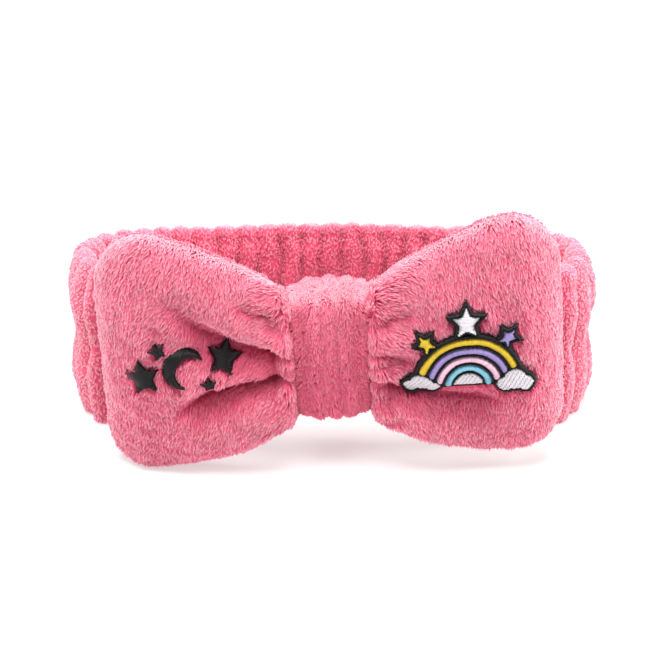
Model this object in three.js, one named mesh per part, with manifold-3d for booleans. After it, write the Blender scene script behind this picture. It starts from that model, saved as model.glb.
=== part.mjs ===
// Plush spa headband with a large bow. A padded fleece loop, gathered on hidden elastic, goes round the head.
// A flat fleece bag is pinched in its middle to make the bow, and a short fleece wrap ties the bow to the
// loop. Stars and a moon are embroidered on one wing, and a rainbow between clouds on the other.
// Millimetres, +Z up. The bow faces -Y, and the headband lies on its lower edge, as on a table.
import * as THREE from 'three';
import { mergeVertices } from 'three/addons/utils/BufferGeometryUtils.js';
import Module from 'manifold-3d';

// Loop, measured between the middles of its walls and at its tallest
const LOOP_WIDTH = 222;
const LOOP_DEPTH = 114;
const LOOP_SQUARENESS = 2.2;
const BAND_HEIGHT = 77;
const BAND_THICKNESS = 13;
const RIB_PITCH = 10.3;
const RIB_DEPTH = 2.1;
const FOOT_SQUASH = 3.6;
const HELD_THICKNESS = 10;
const KNOT_FADE = 72;

// Bow, with each wing measured from the middle of the neck
const WING_LENGTH = 100;
const WING_HEIGHT = 110;
const WING_THICKNESS = 29;
const WING_TOP_CORNER = 24;
const WING_BOTTOM_CORNER = 15;
const WING_EDGE_RADIUS = 15;
const WING_CLEARANCE = 5;
const NECK_HEIGHT = 48;
const NECK_THICKNESS = 16;
const BOW_ROLL = THREE.MathUtils.degToRad(3.4);

// Wrap round the neck and the loop
const WRAP_WIDTH = 30;
const WRAP_THICKNESS = 5;
const WRAP_WRINKLES = 4;
const WRAP_WRINKLE_DEPTH = 1.1;

// Embroidery
const RAINBOW_RADIUS = 22;
const ARC_WIDTH = 3.2;
const ARC_SPACING = 0.8;
const CLOUD_RADIUS = 4.8;
const EMBLEM_STAR_RADIUS = 7;
const SIDE_STAR_RADIUS = 4.2;
const OUTLINE_WIDTH = 1.5;
const THREAD_THICKNESS = 1;
const MOON_RADIUS = 8.5;
const LARGE_STAR_RADIUS = 8;
const SMALL_STAR_RADIUS = 4;
const STAR_SPACING = 1;

// Between pieces that touch
const GAP = 0.35;

// Shapes of the sections, as squarenesses and as shares of the sizes that they go with
const LOOP_FRONT_SHARE = 0.456;
const WING_END_SHARE = 0.1725;
const RIB_ROUNDNESS = 0.75;
const RIB_UNEVENNESS = 0.25;
const RIB_BEAT = 2.3;
const SECTION_SQUARENESS = 2.5;
const WRAP_SQUARENESS = { inside: 5, outside: 4 };
const WAIST_WIDTH = 0.32;
const SCALLOP = 0.5;
const CREASE_START = 0.1;
const CREASE_FADE = 0.45;
const CREASE_FLARE = 0.7;
const WRAP_FLARE = 0.07;
const WRAP_EDGE_DROP = 0.6;
const WRAP_EDGE_POWER = 6;
const WRAP_HEM = 0.94;
const STAR_POINTS = 5;
const STAR_WAIST = 0.5;
const STAR_SEAT = 0.8;
const SIDE_STAR_LEAN = THREE.MathUtils.degToRad(40);
const MOON_BITE = { apart: 0.42, radius: 0.78 };
const CLOUD_PUFFS = [
  { aside: 0, up: 0.25, size: 1 },
  { aside: -0.85, up: -0.15, size: 0.72 },
  { aside: 0.85, up: -0.15, size: 0.72 },
];
// How much faster the outline round a star grows at its points and waists than along its sides
const STAR_GROWTH = { point: 1.8, waist: 1.1 };

// The loop, row by row from the middle of the front, towards +X and round. turn is the share of the way
// round, height a share of BAND_HEIGHT, lift how far the lower edge arches up off the surface as another,
// thickness a share of BAND_THICKNESS, waist the depth of the groove over the elastic as a share of half
// the thickness, and gather a share of RIB_DEPTH.
const LOOP_ROWS = [
  { turn: 0.0, height: 0.9, lift: 0.0, thickness: 0.8, waist: 0.0, gather: 0.9 },
  { turn: 0.08, height: 0.95, lift: 0.0, thickness: 0.88, waist: 0.1, gather: 0.9 },
  { turn: 0.13, height: 1.0, lift: 0.0, thickness: 0.95, waist: 0.25, gather: 1.0 },
  { turn: 0.18, height: 1.02, lift: 0.0, thickness: 1.12, waist: 0.45, gather: 1.3 },
  { turn: 0.25, height: 0.97, lift: 0.05, thickness: 1.2, waist: 0.55, gather: 1.4 },
  { turn: 0.32, height: 0.93, lift: 0.02, thickness: 1.05, waist: 0.4, gather: 1.2 },
  { turn: 0.4, height: 0.88, lift: 0.0, thickness: 0.95, waist: 0.22, gather: 1.0 },
  { turn: 0.5, height: 0.87, lift: 0.0, thickness: 0.95, waist: 0.2, gather: 1.0 },
  { turn: 0.6, height: 0.88, lift: 0.0, thickness: 0.95, waist: 0.22, gather: 1.0 },
  { turn: 0.68, height: 0.93, lift: 0.02, thickness: 1.05, waist: 0.35, gather: 1.2 },
  { turn: 0.75, height: 0.97, lift: 0.05, thickness: 1.2, waist: 0.55, gather: 1.4 },
  { turn: 0.82, height: 1.02, lift: 0.0, thickness: 1.12, waist: 0.45, gather: 1.3 },
  { turn: 0.87, height: 1.0, lift: 0.0, thickness: 0.95, waist: 0.25, gather: 1.0 },
  { turn: 0.92, height: 0.95, lift: 0.0, thickness: 0.88, waist: 0.1, gather: 0.9 },
  { turn: 1.0, height: 0.9, lift: 0.0, thickness: 0.8, waist: 0.0, gather: 0.9 },
];

// A wing, row by row from the wrap's edge to its end. reach is a share of the wing's free length, top and
// bottom are shares of WING_HEIGHT above and below the neck's middle, fill is how far the section has opened
// from the neck's size to the wing's own, and front and back are shares of WING_THICKNESS from the seam.
const WING_ROWS = [
  { reach: 0.0, top: 0.3, bottom: 0.265, fill: 0.0, front: 0.3, back: 0.26 },
  { reach: 0.03, top: 0.32, bottom: 0.275, fill: 0.9, front: 0.4, back: 0.24 },
  { reach: 0.1, top: 0.36, bottom: 0.303, fill: 1.0, front: 0.45, back: 0.25 },
  { reach: 0.2, top: 0.41, bottom: 0.345, fill: 1.0, front: 0.5, back: 0.26 },
  { reach: 0.34, top: 0.46, bottom: 0.385, fill: 1.0, front: 0.54, back: 0.27 },
  { reach: 0.5, top: 0.51, bottom: 0.41, fill: 1.0, front: 0.56, back: 0.3 },
  { reach: 0.66, top: 0.555, bottom: 0.43, fill: 1.0, front: 0.55, back: 0.35 },
  { reach: 0.84, top: 0.565, bottom: 0.435, fill: 1.0, front: 0.5, back: 0.42 },
  { reach: 1.0, top: 0.545, bottom: 0.43, fill: 1.0, front: 0.44, back: 0.44 },
];

// Creases that run out from the wrap over a wing's front. side is -1 for the stars' wing and +1 for the
// rainbow's. Each starts at the wrap at the level start, passes the level bend at the reach at, and fades
// out at the level end at the reach to. Levels are shares of WING_HEIGHT and reaches of the free length.
// depth is a share of WING_THICKNESS and width of WING_HEIGHT.
const CREASES = [
  { side: -1, start: 0.2, at: 0.1, bend: 0.22, to: 0.3, end: 0.27, depth: 0.13, width: 0.045 },
  { side: -1, start: 0.05, at: 0.3, bend: 0.12, to: 0.7, end: 0.27, depth: 0.25, width: 0.065 },
  { side: -1, start: -0.06, at: 0.22, bend: -0.1, to: 0.7, end: -0.17, depth: 0.27, width: 0.055 },
  { side: 1, start: 0.18, at: 0.1, bend: 0.19, to: 0.3, end: 0.23, depth: 0.14, width: 0.045 },
  { side: 1, start: 0.05, at: 0.12, bend: 0.03, to: 0.36, end: 0.01, depth: 0.2, width: 0.05 },
  { side: 1, start: -0.09, at: 0.24, bend: -0.13, to: 0.74, end: -0.21, depth: 0.25, width: 0.06 },
];

// The middles of the rainbow's foot and of the moon, as shares of WING_LENGTH and WING_HEIGHT, and where
// the moon is open to
const EMBLEM_PLACE = { reach: 0.57, level: -0.082 };
const MOON_PLACE = { reach: -0.62, level: 0.04, open: THREE.MathUtils.degToRad(-35) };

// The stars round the moon, each towards a direction from it and turned, in degrees from the right upwards
const NIGHT_STARS = [
  { name: 'large_star_1', radius: LARGE_STAR_RADIUS, towards: 191, turn: 12 },
  { name: 'large_star_2', radius: LARGE_STAR_RADIUS, towards: 9, turn: -14 },
  { name: 'small_star_1', radius: SMALL_STAR_RADIUS, towards: 138, turn: 25 },
  { name: 'small_star_2', radius: SMALL_STAR_RADIUS, towards: -40, turn: 5 },
];

// Fineness of the surfaces
const STATIONS_PER_RIB = 3;
const BAND_SECTION_ANGLES = [0, 26, 50, 74, 106, 130, 154, 180, 206, 230, 254, 286, 310, 334]
  .map(THREE.MathUtils.degToRad);
const NECK_STATIONS = 1;
const WING_STATIONS = 20;
const WING_FRONT_SPANS = 23;
const WING_BACK_SPANS = 8;
const WRAP_STATIONS = 30;
const WRAP_FRONT_POINTS = 13;
const WRAP_BACK_POINTS = 5;
const ARC_SEGMENTS = 8;
const LOOP_DIVISIONS = 800;
const FACE_DIVISIONS = 48;

const PINK = 0xe8708f;
const CLOTH_ROUGHNESS = 0.95;
const THREAD_ROUGHNESS = 0.5;
const THREAD = {
  black: 0x15141a,
  white: 0xf3eef2,
  rose: 0xf2c3d6,
  blue: 0x8fcbe0,
  lilac: 0xa79bcb,
  yellow: 0xe3cb33,
};

// How far the loop's line reaches in front of its widest place and behind it
const LOOP_FRONT = LOOP_FRONT_SHARE * LOOP_DEPTH;
const LOOP_BACK = LOOP_DEPTH - LOOP_FRONT;

// Where the neck ends and the free wing starts, just past the wrap's widest edge
const NECK_END = (WRAP_WIDTH / 2) * (1 + WRAP_FLARE) + GAP;

// From the neck's middle back to the middle of the squeezed band's wall
const NECK_TO_LINE = (NECK_THICKNESS + HELD_THICKNESS) / 2 + GAP;

const wasm = await Module();
wasm.setup();

/** A closed geometry as a manifold-3d solid. */
function solidOf(geometry) {
  const bare = new THREE.BufferGeometry().setAttribute('position', geometry.getAttribute('position'));
  bare.setIndex(geometry.index);
  const merged = mergeVertices(bare);
  return new wasm.Manifold(new wasm.Mesh({
    numProp: 3,
    vertProperties: merged.attributes.position.array,
    triVerts: new Uint32Array(merged.index.array),
  }));
}

/** A manifold-3d solid as a geometry. */
function geometryOf(solid) {
  const { vertProperties, triVerts } = solid.getMesh();
  const geometry = new THREE.BufferGeometry();
  geometry.setAttribute('position', new THREE.BufferAttribute(vertProperties, 3));
  geometry.setIndex(new THREE.BufferAttribute(triVerts, 1));
  geometry.computeVertexNormals();
  return geometry;
}

/** A named mesh in a colour, with the dull finish of cloth or the slight gloss of thread. */
function piece(name, geometry, colour, roughness = CLOTH_ROUGHNESS) {
  const material = new THREE.MeshStandardMaterial({ color: colour, roughness, metalness: 0 });
  const mesh = new THREE.Mesh(geometry, material);
  mesh.name = name;
  return mesh;
}

/** Reads a table at any place between its rows: a smooth curve runs through each named column. */
function smoothTable(rows, key, ending) {
  const columns = Object.keys(rows[0]).filter((name) => name !== key);
  const places = rows.map((row) => row[key]);
  const values = rows.flatMap((row) => columns.map((name) => row[name]));
  const curve = new THREE.CubicInterpolant(places, values, columns.length, []);
  curve.settings = { endingStart: ending, endingEnd: ending };
  return (place) => {
    const read = curve.evaluate(THREE.MathUtils.clamp(place, places[0], places.at(-1)));
    return Object.fromEntries(columns.map((name, i) => [name, read[i]]));
  };
}

/**
 * The surface through rings of points. Each ring is closed, and the last joins the first when looped.
 * Without that, each end ring is filled by a fan from its middle.
 */
function skinOf(rings, looped) {
  const around = rings[0].length;
  const positions = rings.flat().flatMap((point) => point.toArray());
  const faces = [];
  const spans = looped ? rings.length : rings.length - 1;
  for (let i = 0; i < spans; i++) {
    for (let j = 0; j < around; j++) {
      const here = i * around;
      const next = ((i + 1) % rings.length) * around;
      const k = (j + 1) % around;
      faces.push(here + j, next + j, next + k, here + j, next + k, here + k);
    }
  }
  const ends = looped ? [] : [rings[0], rings.at(-1).toReversed()];
  ends.forEach((ring, end) => {
    const middle = positions.length / 3;
    const centre = ring.reduce((sum, point) => sum.add(point), new THREE.Vector3()).divideScalar(around);
    positions.push(...centre.toArray());
    const index = (j) => (end ? rings.length * around - 1 - j : j);
    for (let j = 0; j < around; j++) faces.push(middle, index(j), index((j + 1) % around));
  });
  const geometry = new THREE.BufferGeometry();
  geometry.setAttribute('position', new THREE.Float32BufferAttribute(positions, 3));
  geometry.setIndex(faces);
  return geometry;
}

/** A point of a superellipse of half sizes a and b: a rounded box as the squareness grows from 2. */
function superellipse(angle, a, b, squareness) {
  const power = 2 / squareness;
  const cos = Math.cos(angle);
  const sin = Math.sin(angle);
  return [a * Math.sign(cos) * Math.abs(cos) ** power, b * Math.sign(sin) * Math.abs(sin) ** power];
}

/** A bell curve that is 1 at zero and falls away over the width. */
const bell = (distance, width) => Math.exp(-((distance / width) ** 2));

const bandRow = smoothTable(LOOP_ROWS, 'turn', THREE.WrapAroundEnding);
const wingRow = smoothTable(WING_ROWS, 'reach', THREE.ZeroCurvatureEnding);

/** The middle line of the loop seen from above: two half superellipses, from the middle of the front. */
class LoopLine extends THREE.Curve {
  getPoint(t, target = new THREE.Vector3()) {
    const angle = 2 * Math.PI * t - Math.PI / 2;
    const depth = Math.sin(angle) < 0 ? LOOP_FRONT : LOOP_BACK;
    const [x, y] = superellipse(angle, LOOP_WIDTH / 2, depth, LOOP_SQUARENESS);
    return target.set(x, y, 0);
  }
}

/** How far the front of the loop's line curves back at a distance aside from its middle. */
function lineSag(aside) {
  const share = (2 * aside) / LOOP_WIDTH;
  return LOOP_FRONT * (1 - (1 - share ** LOOP_SQUARENESS) ** (1 / LOOP_SQUARENESS));
}

/**
 * The front face of the band at a distance aside from the middle, as far forward as its ribs may reach
 * within a rib's pitch. It is measured from the loop's line at the middle of the front.
 */
function bandFace(aside) {
  const line = new LoopLine();
  const faces = [];
  for (let i = 0; i <= FACE_DIVISIONS; i++) {
    const turn = i / FACE_DIVISIONS / 4;
    const row = bandRow(turn);
    const tangent = line.getTangentAt(turn);
    const half = (row.thickness * BAND_THICKNESS) / 2 + (1 + RIB_UNEVENNESS) * RIB_DEPTH * row.gather;
    const point = line.getPointAt(turn).addScaledVector(tangent, -RIB_PITCH);
    faces.push({ x: point.x, y: point.y + LOOP_FRONT - half * tangent.x });
  }
  const near = faces.filter(({ x }) => Math.abs(x - Math.min(aside, faces.at(-1).x)) < RIB_PITCH);
  return Math.min(...near.map(({ y }) => y));
}

/** How far a rib stands out at a place counted in ribs: a round crest between narrow valleys. */
function rib(place) {
  const crest = 2 * Math.abs(Math.sin(Math.PI * place)) ** RIB_ROUNDNESS - 1;
  const uneven = 1 + RIB_UNEVENNESS * Math.sin(RIB_BEAT * Math.floor(place));
  return crest * uneven;
}

/**
 * The gathered band. Its section is a flattened tube with a waist over the elastic, carried round the loop.
 * Ribs swell both walls and scallop the edges, and the lower edge is pressed flat by what it lies on.
 * Inside the wrap the band is squeezed to the held height, round the height of the knot's middle.
 */
function bandGeometry(knotMiddle, heldHeight) {
  const line = new LoopLine();
  line.arcLengthDivisions = LOOP_DIVISIONS;
  const ribs = Math.round(line.getLength() / RIB_PITCH);
  const stations = ribs * STATIONS_PER_RIB;
  const rings = [];
  for (let i = 0; i < stations; i++) {
    const turn = i / stations;
    const row = bandRow(turn);
    const centre = line.getPointAt(turn);
    const tangent = line.getTangentAt(turn);
    const outward = new THREE.Vector3(tangent.y, -tangent.x, 0);
    const aside = Math.min(turn, 1 - turn) * line.getLength();
    const knot = 1 - THREE.MathUtils.smoothstep(aside, NECK_END, NECK_END + KNOT_FADE);
    const swell = RIB_DEPTH * rib(turn * ribs) * row.gather * (1 - knot);
    const wall = THREE.MathUtils.lerp(row.thickness * BAND_THICKNESS, HELD_THICKNESS, knot) / 2;
    const free = row.height * BAND_HEIGHT;
    const half = THREE.MathUtils.lerp(free, heldHeight, knot) / 2;
    const resting = free / 2 - FOOT_SQUASH + row.lift * BAND_HEIGHT;
    const middle = THREE.MathUtils.lerp(resting, knotMiddle, knot);
    const ring = [];
    for (const angle of BAND_SECTION_ANGLES) {
      const [across, level] = superellipse(angle, 1, 1, SECTION_SQUARENESS);
      const waist = 1 - row.waist * bell(level, WAIST_WIDTH);
      const radial = across * (wall * waist + swell);
      const height = middle + level * (half + SCALLOP * swell);
      ring.push(centre.clone().addScaledVector(outward, radial).setZ(Math.max(0, height)));
    }
    rings.push(ring);
  }
  return skinOf(rings, true);
}

/** The unit section of a wing, from the bottom up over the back and down again over the finer front. */
const WING_SECTION = [
  { side: 1, spans: WING_BACK_SPANS },
  { side: -1, spans: WING_FRONT_SPANS },
].flatMap(({ side, spans }) => {
  return Array.from({ length: spans }, (_, k) => {
    const share = side * ((2 * k) / spans - 1);
    const level = (share + Math.sin((share * Math.PI) / 2)) / 2;
    return { across: side * (1 - Math.abs(level) ** SECTION_SQUARENESS) ** (1 / SECTION_SQUARENESS), level };
  });
});

/** How far the creases of one wing sink its front at a reach and a level. */
function creaseDepth(side, reach, level) {
  let depth = 0;
  for (const crease of CREASES.filter((row) => row.side === side && reach < row.to)) {
    // The line from start to end, bent by a parabola that is zero at both ends
    const share = reach / crease.to;
    const atBend = crease.at / crease.to;
    const offLine = crease.bend - THREE.MathUtils.lerp(crease.start, crease.end, atBend);
    const bent = (offLine * share * (1 - share)) / (atBend * (1 - atBend));
    const line = THREE.MathUtils.lerp(crease.start, crease.end, share) + bent;
    const rise = THREE.MathUtils.smoothstep(reach, 0, CREASE_START);
    const fade = rise * (1 - THREE.MathUtils.smoothstep(share, CREASE_FADE, 1));
    depth += crease.depth * WING_THICKNESS * fade * bell(level - line, crease.width * (CREASE_FLARE + share));
  }
  return depth;
}

/** The closed ring of points round the neck or a wing. The reach is 0 at the wrap's edge and 1 at the end. */
function bowRing(side, reach, x) {
  const row = wingRow(reach);
  const fill = THREE.MathUtils.clamp(row.fill, 0, 1);
  const toEnd = WING_LENGTH - x;
  // The rounded corners draw the outline in, and the rounded edge thins the section to the end's share
  const drawn = (radius) => radius * (1 - Math.sqrt(1 - Math.max(0, 1 - toEnd / radius) ** 2));
  const edge = Math.max(0, 1 - toEnd / WING_EDGE_RADIUS);
  const thinned = Math.sqrt(1 - (1 - WING_END_SHARE ** 2) * edge ** 2);
  const grown = (neck, wing) => THREE.MathUtils.lerp(neck / 2, wing, fill);
  const top = grown(NECK_HEIGHT, row.top * WING_HEIGHT) - drawn(WING_TOP_CORNER);
  const bottom = grown(NECK_HEIGHT, row.bottom * WING_HEIGHT) - drawn(WING_BOTTOM_CORNER);
  const front = grown(NECK_THICKNESS, row.front * WING_THICKNESS) * thinned;
  const back = grown(NECK_THICKNESS, row.back * WING_THICKNESS) * thinned;
  const seam = (bandFace(x) + NECK_TO_LINE - WING_CLEARANCE - row.back * WING_THICKNESS) * fill;
  const ring = [];
  for (const { across, level } of WING_SECTION) {
    const z = (top - bottom) / 2 + (level * (top + bottom)) / 2;
    const sunk = creaseDepth(side, reach, z / WING_HEIGHT) * Math.max(0, -across) * thinned * fill;
    ring.push(new THREE.Vector3(side * x, seam + across * (across < 0 ? front : back) + sunk, z));
  }
  return ring;
}

/** The bow: one flat bag with two puffed wings, pinched thin in its middle. */
function bowGeometry() {
  const wing = (side) => {
    const rings = [];
    for (let k = 1; k <= NECK_STATIONS; k++) rings.push(bowRing(side, 0, (NECK_END * k) / NECK_STATIONS));
    for (let k = 1; k <= WING_STATIONS; k++) {
      // Rings stand closer together at the wrap and at the rounded end
      const share = k / WING_STATIONS;
      const eased = (share + (1 - Math.cos(Math.PI * share)) / 2) / 2;
      rings.push(bowRing(side, eased, THREE.MathUtils.lerp(NECK_END, WING_LENGTH, eased)));
    }
    return rings;
  };
  return skinOf([...wing(1).reverse(), bowRing(1, 0, 0), ...wing(-1)], false);
}

/** The wrap: a strip with lengthwise wrinkles, carried round what it holds as one closed ring. */
function wrapGeometry(front, back) {
  const halfDepth = (back - front) / 2 + GAP;
  const halfHeight = NECK_HEIGHT / 2 + GAP;
  const rings = [];
  for (let i = 0; i < WRAP_STATIONS; i++) {
    const angle = (2 * Math.PI * i) / WRAP_STATIONS;
    const [y, z] = superellipse(angle, halfDepth, halfHeight, WRAP_SQUARENESS.inside);
    const outside = [halfDepth + WRAP_THICKNESS, halfHeight + WRAP_THICKNESS];
    const [outerY, outerZ] = superellipse(angle, ...outside, WRAP_SQUARENESS.outside);
    const inner = new THREE.Vector3(0, (front + back) / 2 + y, z);
    const wall = new THREE.Vector3(0, outerY - y, outerZ - z);
    const halfWidth = (WRAP_WIDTH / 2) * (1 + (WRAP_FLARE * z) / halfHeight);
    const ring = [];
    for (let k = 0; k < WRAP_FRONT_POINTS; k++) {
      const across = (2 * k) / (WRAP_FRONT_POINTS - 1) - 1;
      const wrinkle = (WRAP_WRINKLE_DEPTH / WRAP_THICKNESS) * Math.cos(Math.PI * WRAP_WRINKLES * across);
      const rise = (1 + wrinkle) * (1 - WRAP_EDGE_DROP * across ** WRAP_EDGE_POWER);
      ring.push(inner.clone().addScaledVector(wall, rise).setX(across * halfWidth));
    }
    for (let k = 0; k < WRAP_BACK_POINTS; k++) {
      const across = WRAP_HEM * (1 - (2 * k) / (WRAP_BACK_POINTS - 1));
      ring.push(inner.clone().setX(across * halfWidth));
    }
    rings.push(ring);
  }
  return skinOf(rings, true);
}

/** A half disc standing on its flat side, grown. */
function halfDisc(x, z, radius, grow = 0) {
  const spread = Math.asin(grow / (radius + grow));
  return new THREE.Shape().absarc(x, z, radius + grow, -spread, Math.PI + spread, false);
}

/** An arched stripe between two radii. */
function arch(x, z, inner, outer) {
  const shape = new THREE.Shape();
  shape.absarc(x, z, outer, 0, Math.PI, false);
  shape.absarc(x, z, inner, Math.PI, 0, true);
  return shape;
}

/** A star, turned by an angle and grown. */
function star(x, z, radius, turn, grow = 0) {
  const points = [];
  for (let k = 0; k < 2 * STAR_POINTS; k++) {
    const point = radius + grow * STAR_GROWTH.point;
    const waist = radius * STAR_WAIST + grow * STAR_GROWTH.waist;
    const reach = k % 2 ? waist : point;
    const angle = Math.PI / 2 + turn + (k * Math.PI) / STAR_POINTS;
    points.push(new THREE.Vector2(x + reach * Math.cos(angle), z + reach * Math.sin(angle)));
  }
  return new THREE.Shape(points);
}

/** A crescent moon, open towards an angle: a disc less a smaller one, whose circles cross at its horns. */
function crescent(x, z, radius, open) {
  const apart = MOON_BITE.apart * radius;
  const biteRadius = MOON_BITE.radius * radius;
  const atMoon = Math.acos((apart ** 2 + radius ** 2 - biteRadius ** 2) / (2 * apart * radius));
  const atBite = Math.acos((radius ** 2 - apart ** 2 - biteRadius ** 2) / (2 * apart * biteRadius));
  const biteX = x + apart * Math.cos(open);
  const biteZ = z + apart * Math.sin(open);
  const shape = new THREE.Shape();
  shape.absarc(x, z, radius, open + atMoon, open - atMoon, false);
  shape.absarc(biteX, biteZ, biteRadius, open - atBite, open + atBite, true);
  return shape;
}

/** The round puffs of a cloud, grown. */
function cloudPuffs(x, z, radius, grow = 0) {
  return CLOUD_PUFFS.map(({ aside, up, size }) => {
    const shape = new THREE.Shape();
    return shape.absarc(x + aside * radius, z + up * radius, size * radius + grow, 0, 2 * Math.PI, false);
  });
}

/** Shapes pushed forward from the bow's middle as one solid. */
function stencil(shapes) {
  const settings = { depth: WING_THICKNESS, bevelEnabled: false, curveSegments: ARC_SEGMENTS };
  const prisms = shapes.map((shape) => {
    return solidOf(new THREE.ExtrudeGeometry(shape, settings).rotateX(Math.PI / 2));
  });
  return prisms.reduce((all, prism) => all.add(prism));
}

/** Thread on the bow: the shapes, less the cut ones, in one of the layers that lie over the bow's front. */
function embroider(bow, layer, shapes, cut = []) {
  const under = GAP + layer * (THREAD_THICKNESS + GAP);
  const front = bow.translate([0, -under - THREAD_THICKNESS, 0]).subtract(bow.translate([0, -under, 0]));
  const field = cut.length ? stencil(shapes).subtract(stencil(cut)) : stencil(shapes);
  return geometryOf(front.intersect(field));
}

const bow = bowGeometry();
const bowSolid = solidOf(bow);

// The wrap reaches from the neck's front to the back of the squeezed band behind it
const heldBack = NECK_TO_LINE + HELD_THICKNESS / 2 + lineSag(NECK_END);
const wrap = wrapGeometry(-NECK_THICKNESS / 2, heldBack);

const bowGroup = new THREE.Group();
bowGroup.rotation.y = -BOW_ROLL;
bowGroup.add(piece('bow', bow, PINK));
bowGroup.add(piece('centre_wrap', wrap, PINK));

/** Adds one piece of embroidery to the bow. */
function stitch(name, colour, layer, shapes, cut) {
  bowGroup.add(piece(name, embroider(bowSolid, layer, shapes, cut), colour, THREAD_ROUGHNESS));
}

// A dark row of a moon and stars on one wing
const moon = { x: MOON_PLACE.reach * WING_LENGTH, z: MOON_PLACE.level * WING_HEIGHT };
stitch('moon', THREAD.black, 0, [crescent(moon.x, moon.z, MOON_RADIUS, MOON_PLACE.open)]);
for (const { name, radius, towards, turn } of NIGHT_STARS) {
  const apart = MOON_RADIUS + STAR_SPACING + radius;
  const x = moon.x + apart * Math.cos(THREE.MathUtils.degToRad(towards));
  const z = moon.z + apart * Math.sin(THREE.MathUtils.degToRad(towards));
  stitch(name, THREAD.black, 0, [star(x, z, radius, THREE.MathUtils.degToRad(turn))]);
}

// A rainbow between clouds under three stars on the other wing: a dark backing, whose rim and gaps show as
// outlines, and the coloured fields on it
const emblem = { x: EMBLEM_PLACE.reach * WING_LENGTH, z: EMBLEM_PLACE.level * WING_HEIGHT };
const crown = [
  { name: 'emblem_star', lean: 0, radius: EMBLEM_STAR_RADIUS, colour: THREAD.white },
  { name: 'side_star_left', lean: SIDE_STAR_LEAN, radius: SIDE_STAR_RADIUS, colour: THREAD.yellow },
  { name: 'side_star_right', lean: -SIDE_STAR_LEAN, radius: SIDE_STAR_RADIUS, colour: THREAD.lilac },
].map((row) => {
  const reach = RAINBOW_RADIUS + OUTLINE_WIDTH + STAR_SEAT * row.radius;
  const x = emblem.x - reach * Math.sin(row.lean);
  const z = emblem.z + reach * Math.cos(row.lean);
  return { ...row, x, z };
});
const clouds = [
  { name: 'cloud_left', x: emblem.x - RAINBOW_RADIUS + CLOUD_RADIUS / 2 },
  { name: 'cloud_right', x: emblem.x + RAINBOW_RADIUS - CLOUD_RADIUS / 2 },
];
const cloudShapes = (grow) => clouds.flatMap(({ x }) => cloudPuffs(x, emblem.z, CLOUD_RADIUS, grow));
stitch('emblem_backing', THREAD.black, 0, [
  halfDisc(emblem.x, emblem.z, RAINBOW_RADIUS, OUTLINE_WIDTH),
  ...crown.map(({ x, z, radius, lean }) => star(x, z, radius, lean, OUTLINE_WIDTH)),
  ...cloudShapes(OUTLINE_WIDTH),
]);
const arcs = ['yellow', 'lilac', 'rose', 'blue'];
arcs.forEach((name, i) => {
  const outer = RAINBOW_RADIUS - i * (ARC_WIDTH + ARC_SPACING);
  const stripe = arch(emblem.x, emblem.z, outer - ARC_WIDTH, outer);
  stitch(`rainbow_${name}`, THREAD[name], 1, [stripe], cloudShapes(ARC_SPACING));
});
const middleRadius = RAINBOW_RADIUS - arcs.length * (ARC_WIDTH + ARC_SPACING);
stitch('rainbow_middle', THREAD.white, 1, [halfDisc(emblem.x, emblem.z, middleRadius)]);
clouds.forEach(({ name, x }) => {
  stitch(name, THREAD.white, 1, cloudPuffs(x, emblem.z, CLOUD_RADIUS));
});
crown.forEach(({ name, x, z, radius, lean, colour }) => {
  stitch(name, colour, 1, [star(x, z, radius, lean)]);
});

// The rolled bow stands on its lowest corner, and the band behind its neck lies on its own lower edge
const rolled = bow.clone().applyMatrix4(new THREE.Matrix4().makeRotationY(bowGroup.rotation.y));
rolled.computeBoundingBox();
bowGroup.position.set(0, -LOOP_FRONT - NECK_TO_LINE, -rolled.boundingBox.min.z);
const heldHeight = NECK_HEIGHT - 2 * GAP - WRAP_WIDTH * (1 + WRAP_FLARE) * Math.sin(BOW_ROLL);

const headband = new THREE.Group();
headband.add(piece('band', bandGeometry(bowGroup.position.z, heldHeight), PINK));
headband.add(bowGroup);

// The origin is on the surface below the middle of the whole headband
headband.updateMatrixWorld(true);
const box = new THREE.Box3().setFromObject(headband, true);
headband.position.set(-(box.min.x + box.max.x) / 2, -(box.min.y + box.max.y) / 2, -box.min.z);

export default headband;
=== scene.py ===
"""Plush spa headband with a large bow of coral fleece, embroidered with stars, a moon and a rainbow.

Lengths are millimetres until a mesh is made. +Z is up, the bow faces -Y and the headband lies on its
lower edge. The cloth lies inside the shape of the CAD solids by the room that its pile needs.
"""

import math
from functools import partial

import bpy
import numpy as np
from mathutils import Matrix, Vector


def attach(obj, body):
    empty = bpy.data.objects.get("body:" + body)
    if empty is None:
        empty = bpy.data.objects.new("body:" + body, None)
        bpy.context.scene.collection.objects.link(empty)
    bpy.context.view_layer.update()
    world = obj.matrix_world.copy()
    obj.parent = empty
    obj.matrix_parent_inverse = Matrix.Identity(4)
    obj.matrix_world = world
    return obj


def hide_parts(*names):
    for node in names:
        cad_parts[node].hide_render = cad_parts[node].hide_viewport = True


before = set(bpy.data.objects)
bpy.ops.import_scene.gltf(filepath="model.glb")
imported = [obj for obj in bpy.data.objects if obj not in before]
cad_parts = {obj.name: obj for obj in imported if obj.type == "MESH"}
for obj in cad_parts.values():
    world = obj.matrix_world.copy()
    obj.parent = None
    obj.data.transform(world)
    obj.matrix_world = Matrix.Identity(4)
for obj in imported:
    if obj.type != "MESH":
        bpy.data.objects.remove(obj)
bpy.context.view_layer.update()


# The band
# A padded tube of coral fleece, sewn over a strip of elastic that is shorter than the cloth, so that
# the cloth gathers into upright ribs. A sewn line near each edge holds the elastic's casing.

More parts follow.
